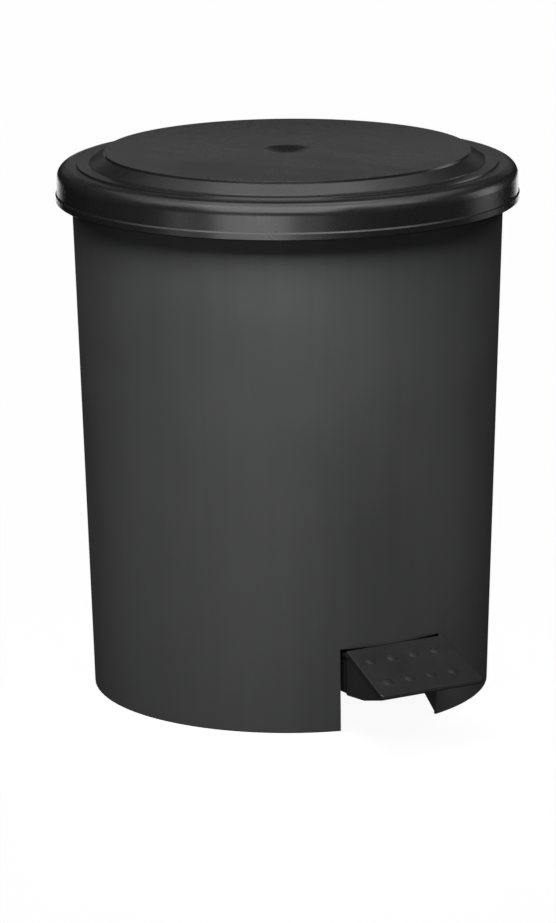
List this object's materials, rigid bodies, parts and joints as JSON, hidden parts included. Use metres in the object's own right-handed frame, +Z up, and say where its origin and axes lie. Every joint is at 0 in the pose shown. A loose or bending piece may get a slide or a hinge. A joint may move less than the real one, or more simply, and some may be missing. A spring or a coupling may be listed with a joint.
{
  "type": "pedal trash can",
  "caption": "Round tapered plastic pedal bin: moulded lid on a rear hinge, opened through a lever and push rod by a sloping foot pedal, with a lift-out bucket inside.",
  "frame": {"origin": "centre of the base ring, on the floor that the bin stands on", "axes": "+Z up along the bin's axis, the pedal points to -Y, the lid's hinge is at +Y, +X is to the right of a person who faces the pedal from the front and looks along +Y"},
  "size_m": [0.292, 0.3206, 0.3446],
  "materials": {
    "shell_plastic": "satin moulded polypropylene, black",
    "lid_plastic": "semi-gloss moulded polypropylene, black",
    "lever_plastic": "satin moulded polypropylene, black",
    "bucket_plastic": "satin moulded polypropylene, black",
    "inner_plastic": "fine-textured moulded plastic, black",
    "nylon": "natural nylon",
    "steel": "drawn bright steel wire",
    "plated_steel": "zinc-plated",
    "pad_rubber": "soft rubber"
  },
  "bodies": {
    "bin": {"outer_body": "shell_plastic", "inner_bucket": "bucket_plastic", "hinge_pin": "steel", "hinge_push_nuts": "plated_steel", "pedal_axle": "steel", "axle_push_nuts": "plated_steel", "bearing_left": "inner_plastic", "bearing_right": "inner_plastic", "bearing_screws": "plated_steel", "rod_channel": "inner_plastic", "rod_channel_screws": "plated_steel", "rod_guide_upper": "nylon", "rod_guide_lower": "nylon"},
    "lid": {"lid": "lid_plastic", "lid_pads": "pad_rubber", "hinge_bracket": "lid_plastic", "hinge_bracket_screws": "plated_steel"},
    "pedal": {"pedal_lever": "lever_plastic", "lever_bushes": "nylon"},
    "push_rod": {"push_rod": "steel", "rod_push_nuts": "plated_steel"},
    "bail": {"bail_wire": "steel", "bail_grip": "bucket_plastic"}
  },
  "joints": [
    {"name": "pedal_press", "type": "hinge", "parent": "bin", "child": "pedal", "pos_m": [0, -0.04463, 0.03245], "axis": [1, 0, 0], "range_deg": [0, 11.1]},
    {"name": "rod_lift", "type": "slide", "parent": "bin", "child": "push_rod", "axis": [0, 0, 1], "range_m": [0, 0.03175]},
    {"name": "lid_open", "type": "hinge", "parent": "bin", "child": "lid", "pos_m": [0, 0.142, 0.32], "axis": [-1, 0, 0], "range_deg": [0, 68]},
    {"name": "bail_swing", "type": "hinge", "parent": "bin", "child": "bail", "pos_m": [0, 0, 0.3097], "axis": [-1, 0, 0], "range_deg": [0, 9]}
  ],
  "couplings": [
    {"joint": "rod_lift", "follows": "pedal_press", "m_per_rad": 0.16364},
    {"joint": "lid_open", "follows": "pedal_press", "ratio": 6.1261}
  ]
}
